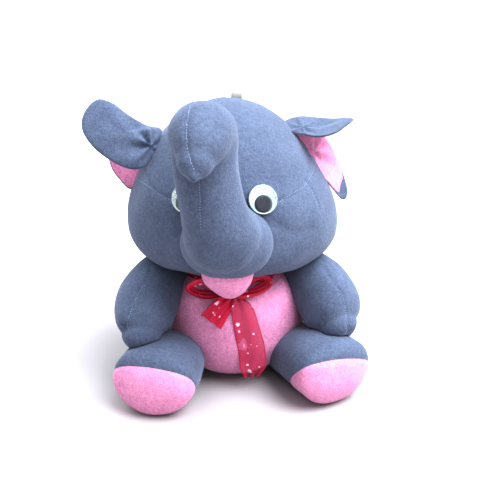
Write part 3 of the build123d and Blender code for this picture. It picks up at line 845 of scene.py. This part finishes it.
# ------------------------------------------------------------------ legs
LEGS = {
    "left": dict(path=[(-46, -14, 24), (-57, -42, 26.5), (-67, -68, 30.5), (-76, -93, 31.5)], rx=[24, 30, 35.5, 37.0], ry=[23.5, 26.5, 30.5, 30.5], aim=(0.02, 0, -0.80), back=4.5),
    "right": dict(path=[(46, -14, 24), (59, -40, 26.5), (71.5, -64, 30.5), (82.5, -87, 31.5)], rx=[24, 30, 35.5, 37.0], ry=[23.5, 26.5, 30.5, 30.5], aim=(-0.22, 0, -0.86), back=3.0),
}
leg_trees = {}
for side, L in LEGS.items():
    v, fc = capped(L["path"], L["rx"], L["ry"], n=60, cap0=6, cap1=16, round1=0.42, side=(1, 0, 0), n_round=110)
    n = normals(v, fc)
    v += n * (fbm(v, 0.026, 11.0 if side == "left" else 17.0) * 1.3)[:, None]
    P = np.array(L["path"], float)
    d = P[-1] - P[-2]
    d /= np.linalg.norm(d)
    lean = d + np.array(L["aim"])
    lean /= np.linalg.norm(lean)
    fld = (v - (P[-1] - d * L["back"])) @ lean
    v -= n * (0.9 * np.exp(-(fld / 1.8) ** 2))[:, None]
    v[:, 2] = np.where(v[:, 2] < 1.2, 0.1 + 0.35 * np.exp((v[:, 2] - 1.2) / 1.2), v[:, 2] - 0.0)
    top_line = np.array([p + np.array([0, 0, r]) for p, r in zip(spline(P, 50)[14:], spline(np.column_stack([np.linspace(0, 1, 4), L["ry"], L["ry"]]), 50)[14:, 1])])
    groove(v, n, top_line, 1.6, 0.8)
    leg_trees[side] = bvh(v, fc)
    (sv, sf), (lv, lf) = split_field(v, fc, fld)
    leg = make(f"leg_{side}_cover", lv, lf, [GREY])
    sole = make(f"sole_{side}_cover", sv, sf, [PINK])
    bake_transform(leg)
    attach(sole, f"leg_{side}")
    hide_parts(f"leg_{side}_skin", f"leg_{side}_stuffing")
    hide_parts(f"leg_{side}_sole")

# ------------------------------------------------------------------ arms
ARMS = {
    "left": dict(path=[(-48, 0, 97), (-65, -16, 96), (-78, -38, 86), (-83.5, -57, 73), (-85, -67, 64)], rx=[18, 24.5, 28.5, 26.5, 18], ry=[18, 23.0, 27.0, 26.0, 17]),
    "right": dict(path=[(50, 0, 97), (67, -16, 96), (79.5, -38, 86), (85.5, -56, 73), (88.5, -66, 65)], rx=[18, 24.5, 28.5, 26.5, 18], ry=[18, 23.0, 27.0, 26.0, 17]),
}
for side, A in ARMS.items():
    s = -1 if side == "left" else 1
    v, fc = capped(A["path"], A["rx"], A["ry"], n=60, cap0=6, cap1=12, round1=0.8, side=(0, 0, 1), n_round=96)
    n = normals(v, fc)
    v += n * (fbm(v, 0.03, 31.0 if side == "left" else 37.0) * 1.5)[:, None]
    # pressed against the leg it rests on
    lt = leg_trees[side]
    for i in np.where(v[:, 2] < 75)[0]:
        hit, hn, _, dist = lt.find_nearest(Vector(v[i]))
        if hit is not None:
            sd = (Vector(v[i]) - hit).dot(hn)
            if sd < 0.6 and dist < 24:
                v[i] += np.array(hn) * min(0.6 - sd, 14.0)
    t = bvh(v, fc)
    if side == "left":
        line, ln = view_line(t, [(151, 268), (148, 276), (145, 283), (141, 289), (137.5, 295), (133, 304), (130, 313.5), (127, 322), (124, 330)])
    else:
        line, ln = view_line(t, [(324, 268), (330, 278), (336, 285), (340.5, 292), (343.5, 298), (345, 304), (346.5, 312), (347, 319), (349, 328), (350, 334)])
    groove(v, n, line, 1.6, 1.0)
    end = line[-1]
    d = np.linalg.norm(v - end, axis=1)
    v -= n * (1.6 * np.exp(-(d / 5.0) ** 2))[:, None]
    t = bvh(v, fc)
    for q in range(5):
        ang_q = math.radians(-50 + 25 * q)
        tvec = line[-1] - line[-6]
        tvec /= np.linalg.norm(tvec)
        svec = np.cross(ln[-1], tvec)
        ray = -tvec * math.cos(ang_q) + svec * math.sin(ang_q)
        pts_q = []
        for u in np.linspace(3, 13, 12):
            hq = t.find_nearest(Vector(end + ray * u))
            pts_q.append(np.array(hq[0]))
        groove(v, n, np.array(pts_q), 1.3, 0.6)
    t = bvh(v, fc)
    arm = make(f"arm_{side}_cover", v, fc, [GREY])
    P = np.array(A["path"], float)
    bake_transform(arm)
    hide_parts(f"arm_{side}_skin", f"arm_{side}_stuffing")
    k = int(len(line) * 0.28)
    st = stitches(f"stitch_arm_{side}", line[k:], ln[k:], THREAD, step=2.2, length=1.2, r=0.26, tree=t)
    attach(st, f"arm_{side}")

# ------------------------------------------------------------------ ears
def leaf(L, n_t=120, n_r=26):
    """Padded leaf from a closed outline: outer and lining surfaces about a shared middle; the lining stops short of the rim."""
    B = spline(np.array(L["b"], float), n_t, closed=True)
    C = B.mean(0)
    vt = np.linalg.svd(B - C)[2]
    nrm = vt[2] if vt[2] @ np.array(L["out"], float) > 0 else -vt[2]
    t = np.linspace(1, 0, n_r)
    T = np.repeat(t, n_t)
    flat_ = (C + t[:, None, None] * (B - C)[None]).reshape(-1, 3)
    root = np.array(L["root"], float)
    lift = 1 - T ** 2
    rd = np.linalg.norm(flat_ - root, axis=1)
    angw = np.arctan2((flat_ - root) @ vt[1], (flat_ - root) @ vt[0])
    wr = L.get("fold", 1.2) * np.sin(angw * 6.0 + 0.8) * np.exp(-(rd / 26.0) ** 2) * (1 - T ** 6)
    wob = fbm(flat_, 0.035, L.get("seed", 4.0)) * 1.5 * lift
    mid = flat_ + nrm * (L["bulge"] * lift + wr + wob)[:, None]
    pad = np.sqrt(np.clip(lift, 0, 1))
    outer = mid + nrm * (2.5 * pad + 0.15)[:, None]
    # the lining is a smaller leaf laid on the underside
    keep = np.full(n_t, 0.95)
    low = np.array(L.get("bare", (0, 0, 1e4)), float)
    keep -= 0.22 * np.exp(-(np.linalg.norm(B - low, axis=1) / 12.0) ** 2)
    k = np.tile(keep, n_r)
    M = mid.reshape(n_r, n_t, 3)
    ti = np.clip((1 - T * k) * (n_r - 1), 0, n_r - 1.0001)
    i0 = ti.astype(int)
    fr = (ti - i0)[:, None]
    jj = np.tile(np.arange(n_t), n_r)
    m2 = M[i0, jj] * (1 - fr) + M[i0 + 1, jj] * fr
    inner = m2 - nrm * (1.9 * pad + 0.75)[:, None]
    under = mid - nrm * (0.55 * np.clip(pad * 3, 0, 1))[:, None]
    return outer, under, m2 - nrm * (0.56 * np.ones(len(T)))[:, None], inner, n_t, n_r


def leaf_shell(top, bottom, n_t, n_r):
    """Closed shell between two grids that share their layout."""
    F = []
    o = len(top)
    for i in range(n_r - 1):
        for j in range(n_t):
            k = (j + 1) % n_t
            q = (i * n_t + j, i * n_t + k, (i + 1) * n_t + k, (i + 1) * n_t + j)
            F.append(q)
            F.append(tuple(x + o for x in q[::-1]))
    for j in range(n_t):
        k = (j + 1) % n_t
        F.append((k, j, o + j, o + k))
    return np.vstack([top, bottom]), F


EARS = {
    "left": [
        dict(b=[(-78, -25, 203), (-90, -33, 203.5), (-104, -36, 211), (-118, -37, 223), (-127, -33, 237), (-125.5, -27, 250), (-115, -21, 260), (-103, -18, 257), (-89, -13, 245), (-75, -6, 235), (-62, -4, 230), (-66, -12, 214)], bulge=4.5, fold=2.4, out=(0, -1, 0.25), root=(-74, -14, 218), seed=4.0),
        dict(b=[(-70, 6, 214), (-88, 10, 226), (-102, 11, 226), (-110, 12, 212), (-109, 10, 196), (-102, 7, 184), (-91, 4, 175), (-80, 2, 190)], bulge=3.0, out=(0, 1, 0), root=(-76, 4, 205), seed=8.0),
    ],
    "right": [
        dict(b=[(60, -14, 226), (73, -28, 227), (87, -31, 231), (97, -27, 236), (104, -20, 239.5), (102, -4, 238), (92, 5, 235.5), (78, 9, 236), (62, 11, 237), (48, 5, 234), (48, -8, 228)], bulge=-4.5, fold=0.8, out=(0, -0.2, 1), root=(62, -6, 230), seed=12.0),
        dict(b=[(50, -4, 226), (70, -1, 228), (84, 6, 219), (93, 11, 208), (100, 13, 194), (105.5, 9, 180), (107.5, 1, 167), (101, -5, 163), (86, -6, 180), (66, -8, 198), (54, -7, 214)], bulge=3.5, out=(0.2, 1, 0.15), root=(74, -2, 208), seed=16.0, bare=(107, 1, 166)),
    ],
}
for side, leaves in EARS.items():
    VO, FO, VI, FI = [], [], [], []
    for L in leaves:
        outer, under, m2, inner, n_t, n_r = leaf(L)
        for V_, F_, (v, f_) in ((VO, FO, leaf_shell(outer, under, n_t, n_r)), (VI, FI, leaf_shell(m2, inner, n_t, n_r))):
            o = len(V_)
            V_ += v.tolist()
            F_ += [tuple(i + o for i in q) for q in f_]
    s = 1 if side == "left" else -1
    for nm, V_, F_, mat, slot in (("outer", VO, FO, GREY, "plush_grey"), ("lining", VI, FI, PINK, "plush_pink")):
        ob = make(f"ear_{side}_{nm}_cover", V_, F_, [mat])
        md = ob.modifiers.new("w", "WELD")
        md.merge_threshold = 0.00002
        dg = bpy.context.evaluated_depsgraph_get()
        me = bpy.data.meshes.new_from_object(ob.evaluated_get(dg))
        ob.modifiers.clear()
        ob.data = me
        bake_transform(ob)
        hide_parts(f"ear_{side}_{nm}")

# ------------------------------------------------------------------ eyes
def lathe(name, prof, e, mat, n=96):
    V, F = [], []
    for r, h in prof:
        for j in range(n):
            a = 2 * math.pi * j / n
            V.append(e["o"] + e["x"] * r * math.cos(a) + e["y"] * r * math.sin(a) + e["n"] * h)
    m = len(prof)
    for i in range(m - 1):
        for j in range(n):
            k = (j + 1) % n
            F.append((i * n + j, i * n + k, (i + 1) * n + k, (i + 1) * n + j))
    F.append(tuple(reversed(range(n))))
    F.append(tuple((m - 1) * n + j for j in range(n)))
    return make(name, V, F, [mat])


for side, e in EYES.items():
    cup = lathe(f"eye_{side}_cup_shell", [(2.2, -13), (2.2, 0.1), (11.2, 0.15), (11.9, 0.6), (12.0, 1.4), (12.0, 2.6), (11.75, 3.05), (11.4, 3.1), (11.0, 2.85), (10.7, 2.2), (10.4, 1.6), (0.3, 1.5)], e, EYE_WHITE)
    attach(cup, "head")
    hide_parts(f"eye_{side}_cup")
    out_r, in_r = 21.2, 23.4
    po = [(21.22 * math.sin(a), 6.8 - 21.22 * (1 - math.cos(a))) for a in np.linspace(0.012, 0.595, 18)]
    pi = [(23.37 * math.sin(a), 5.9 - 23.37 * (1 - math.cos(a))) for a in np.linspace(0.012, 0.49, 16)]
    dome = lathe(f"eye_{side}_dome_shell", po[::1] + pi[::-1], e, EYE_CLEAR)
    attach(dome, "head")
    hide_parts(f"eye_{side}_dome")
    c = dict(e)
    c["o"] = e["o"] - e["y"] * 3.6
    pupil = lathe(f"eye_{side}_pupil_disc", [(0.2, 1.75), (7.1, 1.75), (7.4, 1.95), (7.4, 2.6), (7.2, 2.9), (5.5, 3.02), (3.5, 3.05), (0.2, 3.06)], c, EYE_BLACK)
    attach(pupil, f"pupil_{side}")
    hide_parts(f"eye_{side}_pupil")
    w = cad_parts[f"eye_{side}_washer"]
    w.data.materials.clear()
    w.data.materials.append(WASHER)

# ------------------------------------------------------------------ tail
v, fc = capped([(0, 58, 27), (0, 68, 21.5), (0, 78, 14), (0, 86, 8)], [6, 5.2, 4.4, 4.2], [6, 5.2, 4.4, 4.2], n=30, cap0=5, cap1=8, side=(1, 0, 0), n_round=40)
tail = make("tail_cover", v, fc, [GREY])
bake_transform(tail)
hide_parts("tail")

# ------------------------------------------------------------------ hang loop
def strip(name, centre, across, width, thick, mat, n_w=14, uv0=0.0, ruffle=None):
    """A ribbon as a thin closed strip: centre line, unit direction across it per point, width per point."""
    centre, across = np.asarray(centre, float), np.asarray(across, float)
    across = across / np.linalg.norm(across, axis=1, keepdims=True)
    width = np.broadcast_to(np.asarray(width, float), (len(centre),))
    tang = np.gradient(centre, axis=0)
    tang /= np.linalg.norm(tang, axis=1, keepdims=True) + 1e-9
    nrm = np.cross(tang, across)
    nrm /= np.linalg.norm(nrm, axis=1, keepdims=True) + 1e-9
    w = np.linspace(-0.5, 0.5, n_w)
    top = centre[:, None, :] + across[:, None, :] * (w[None, :, None] * width[:, None, None])
    if ruffle is not None:
        top = top + nrm[:, None, :] * ruffle[:, :, None]
    bot = top - nrm[:, None, :] * thick
    m = len(centre)
    V = np.vstack([top.reshape(-1, 3), bot.reshape(-1, 3)])
    o = m * n_w
    F, uvs = [], []
    dist = np.concatenate([[0], np.cumsum(np.linalg.norm(np.diff(centre, axis=0), axis=1))]) / 25.0 + uv0
    uv = np.array([[(j / (n_w - 1)), dist[i]] for i in range(m) for j in range(n_w)] * 2)
    for i in range(m - 1):
        for j in range(n_w - 1):
            a, b, c, d = i * n_w + j, i * n_w + j + 1, (i + 1) * n_w + j + 1, (i + 1) * n_w + j
            F.append((a, b, c, d))
            F.append((o + d, o + c, o + b, o + a))
        F.append((i * n_w, (i + 1) * n_w, o + (i + 1) * n_w, o + i * n_w))
        F.append((i * n_w + n_w - 1, o + i * n_w + n_w - 1, o + (i + 1) * n_w + n_w - 1, (i + 1) * n_w + n_w - 1))
    for j in range(n_w - 1):
        F.append((j, o + j, o + j + 1, j + 1))
        e_ = (m - 1) * n_w
        F.append((e_ + j, e_ + j + 1, o + e_ + j + 1, o + e_ + j))
    ob = make(name, V, F, [mat])
    layer = ob.data.uv_layers.new(name="UVMap")
    idx = np.zeros(len(ob.data.loops), int)
    ob.data.loops.foreach_get("vertex_index", idx)
    layer.data.foreach_set("uv", uv[idx].ravel())
    return ob


lx = np.array([math.cos(math.radians(-20)), math.sin(math.radians(-20)), 0])
base = np.array([6.0, 19.5, 253.0])
ctr = spline([base + np.array([0, -1.2, 0]), base + np.array([-0.4, -1.3, 3.6]) + lx * 0.6, base + np.array([0, -0.6, 7.0]) + lx * 1.3, base + np.array([0, 0.8, 7.9]) + lx * 1.5, base + np.array([0, 1.8, 6.6]) + lx * 1.3, base + np.array([0.5, 1.6, 4.0]), base + np.array([0, 1.2, 0])], 40)
loop = strip("hang_loop_tape", ctr, np.tile(lx, (40, 1)), 10.5, 0.35, TAPE, n_w=8)
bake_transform(loop)
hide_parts("hang_loop")

# ------------------------------------------------------------------ ribbon
def ruffles(m, n_w, amp, waves, taper, drift=1.2):
    w = np.linspace(0, 1, n_w)
    return amp * np.sin(w[None, :] * 2 * math.pi * waves + np.linspace(0, drift, m)[:, None]) * taper[:, None]


n_b = 260
a = np.linspace(0.02, 2 * math.pi + 0.10, n_b) + math.pi / 2
rr = np.linspace(0, 0.8, n_b) + 47.6 + 0.5 * np.sin(5 * a)
band = np.column_stack([rr * np.cos(a), rr * np.sin(a), 100.8 + 0.8 * np.sin(3 * a)])
across = np.column_stack([0.35 * np.cos(a), 0.35 * np.sin(a), np.ones(n_b)])
neck = strip("ribbon_band_cloth", band, across, 10.5, 0.3, RIBBON_BAND, n_w=30, ruffle=ruffles(n_b, 30, 1.7, 3.0, np.ones(n_b), 9.0))
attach(neck, "torso")
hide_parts("ribbon_neckband")

KV, KF = quad_sphere(26)
kd = KV.copy()
KV = np.array([-3.0, -54.5, 96.0]) + KV * np.array([8.0, 7.5, 7.5])
KN = normals(KV, KF)
KV += KN * (0.7 * np.sin(np.arctan2(kd[:, 2], kd[:, 0]) * 9 + kd[:, 1] * 3))[:, None]
knot = make("ribbon_knot_cloth", KV, KF, [RIBBON_BAND])
knot.data.uv_layers.new(name="UVMap")
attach(knot, "torso")
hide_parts("ribbon_knot")


for side, s in (("left", -1), ("right", 1)):
    x0 = -3.0 + s * 5
    tipx = -40.5 if side == "left" else 25.0
    L = abs(tipx - x0)
    h = 2.5 if side == "left" else 6.0
    pts = [(x0, -60, 98), (x0 + s * L * 0.38, -66, 105 + h), (x0 + s * L * 0.72, -68, 109.5 + h), (x0 + s * L * 0.97, -66, 106 + h), (x0 + s * L, -64, 101 + h), (x0 + s * L * 0.80, -62.5, 96.5 + h), (x0 + s * L * 0.42, -61.5, 95 + h * 0.5), (x0, -60, 94)]
    c = spline(pts, 100)
    t = np.linspace(0, 1, 100)
    puff = np.sin(math.pi * t)
    out = c - np.array([x0 + s * L * 0.6, -64.0, 100 + h])
    out /= np.linalg.norm(out, axis=1, keepdims=True)
    ac = np.column_stack([0.9 * out[:, 0], np.full(100, -0.85), 0.9 * out[:, 2]])
    wd = 6.5 + 5.2 * puff
    lo = strip(f"ribbon_loop_{side}_cloth", c, ac, wd, 0.3, RIBBON_BAND, n_w=34, uv0=3.0 * (s + 1), ruffle=ruffles(100, 34, 1.0, 3.0, 2.1 - 1.1 * puff, 5.0))
    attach(lo, "torso")
    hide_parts(f"ribbon_loop_{side}")


def over_belly(x, z, gap):
    """Front of the belly at a height, plus a gap."""
    return -math.sqrt(max(float(np.interp(z, prof[:, 1], prof[:, 0])) ** 2 - (0.94 * x) ** 2, 0)) - gap


# long tail
c = spline([(1, -60.5, 92.5), (2.5, over_belly(2.5, 87, 2.2), 87), (5, over_belly(5, 76, 1.9), 76), (8.5, over_belly(8.5, 60, 1.8), 60), (11.5, over_belly(11.5, 45, 2.2), 45), (13, over_belly(13, 38, 3.2), 32), (13, over_belly(13, 38, 2.6), 22), (12, over_belly(12, 34, 1.0), 14.2)], 90)
t = np.linspace(0, 1, 90)
wd = np.interp(t, [0, 0.08, 0.2, 0.5, 0.8, 0.86, 1.0], [8, 14, 20.5, 24.4, 24.0, 20, 11])
ac = np.column_stack([np.ones(90), np.full(90, -0.05), np.interp(t, [0, 0.2, 1], [-0.15, 0.0, 0.08])])
ruf = ruffles(90, 30, 1.0, 2.0, np.interp(t, [0, 0.12, 0.3, 0.75, 0.88, 1], [2.0, 1.3, 0.4, 0.35, 1.0, 2.2]))
long_tail = strip("ribbon_long_cloth", c, ac, wd, 0.3, RIBBON, n_w=30, uv0=0.3, ruffle=ruf)
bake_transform(long_tail)
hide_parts("ribbon_tail_long")

# short tail
c = spline([(-6, -60.5, 93), (-10, over_belly(-10, 89, 2.6), 89.5), (-15.5, over_belly(-15.5, 83, 3.0), 84), (-20.5, over_belly(-20.5, 77, 3.4), 77.5), (-24, over_belly(-24, 72, 4.0), 72.5)], 50)
t = np.linspace(0, 1, 50)
wd = np.interp(t, [0, 0.2, 0.6, 1.0], [8, 15, 20, 23])
ac = np.column_stack([np.full(50, 0.75), np.full(50, -0.05), np.full(50, -0.62)])
ruf = ruffles(50, 30, 1.3, 2.5, np.interp(t, [0, 0.5, 1], [1.5, 0.7, 0.8]))
short_tail = strip("ribbon_short_cloth", c, ac, wd, 0.3, RIBBON_BAND, n_w=30, uv0=8.0, ruffle=ruf)
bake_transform(short_tail)
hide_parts("ribbon_tail_short")

# wad of filling in the neck opening: loose fibre in a soft lump that rests on the torso top
STUFFING = plush("stuffing", (0.78, 0.78, 0.75), (0.86, 0.86, 0.84), (0.92, 0.92, 0.90), sheen=0.2)
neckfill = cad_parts["neck_stuffing"]
nb = np.array([list(neckfill.matrix_world @ v.co) for v in neckfill.data.vertices]) / MM
nlo, nhi = nb.min(0), nb.max(0)
v, fc = quad_sphere(26)
v = np.array([0.0, 0.0, 120.0]) + v * 33.2
n = normals(v, fc)
v = v + n * (fbm(v, 0.09, 3.0)[:, None] * 0.9 - 0.4)
v[:, 2] = np.maximum(v[:, 2], nlo[2] + 0.4)
v = np.clip(v, nlo + 0.2, nhi - 0.2)
wad = make("neck_wad", v, fc, [STUFFING])
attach(wad, "neck")
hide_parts("neck_stuffing")

low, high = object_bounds()
